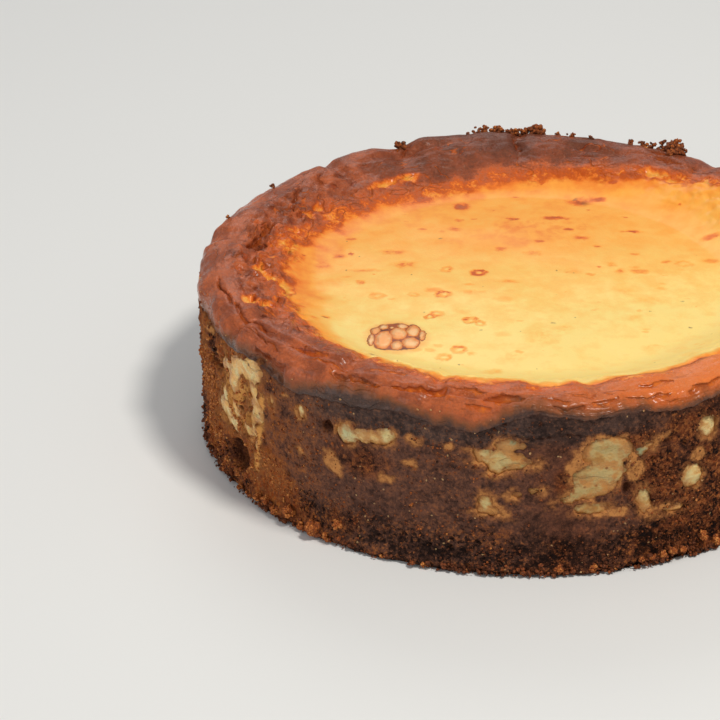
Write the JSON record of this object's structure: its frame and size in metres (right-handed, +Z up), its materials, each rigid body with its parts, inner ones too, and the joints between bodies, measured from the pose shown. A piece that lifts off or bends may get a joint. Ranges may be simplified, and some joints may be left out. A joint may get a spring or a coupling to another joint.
{
  "type": "whole baked cheesecake",
  "caption": "Round baked cheesecake: sunken custard dish, browned overhanging rim, and a pressed crumb crust with gaps in its wall where the custard shows.",
  "frame": {"origin": "centre of the bounding box's bottom face, which is the middle of the flat base", "axes": "+Z up along the cake's axis, the shortest way through it; -Y towards the side shown in the picture; +X to that viewer's right"},
  "size_m": [0.2254, 0.2258, 0.0642],
  "materials": {
    "dark_crumb": "matte, coarse pressed biscuit crumb",
    "baked_custard": "satin baked custard, browned at the rim"
  },
  "bodies": {
    "root": {"crumb_crust": "dark_crumb", "cheese_filling": "baked_custard"}
  },
  "joints": []
}
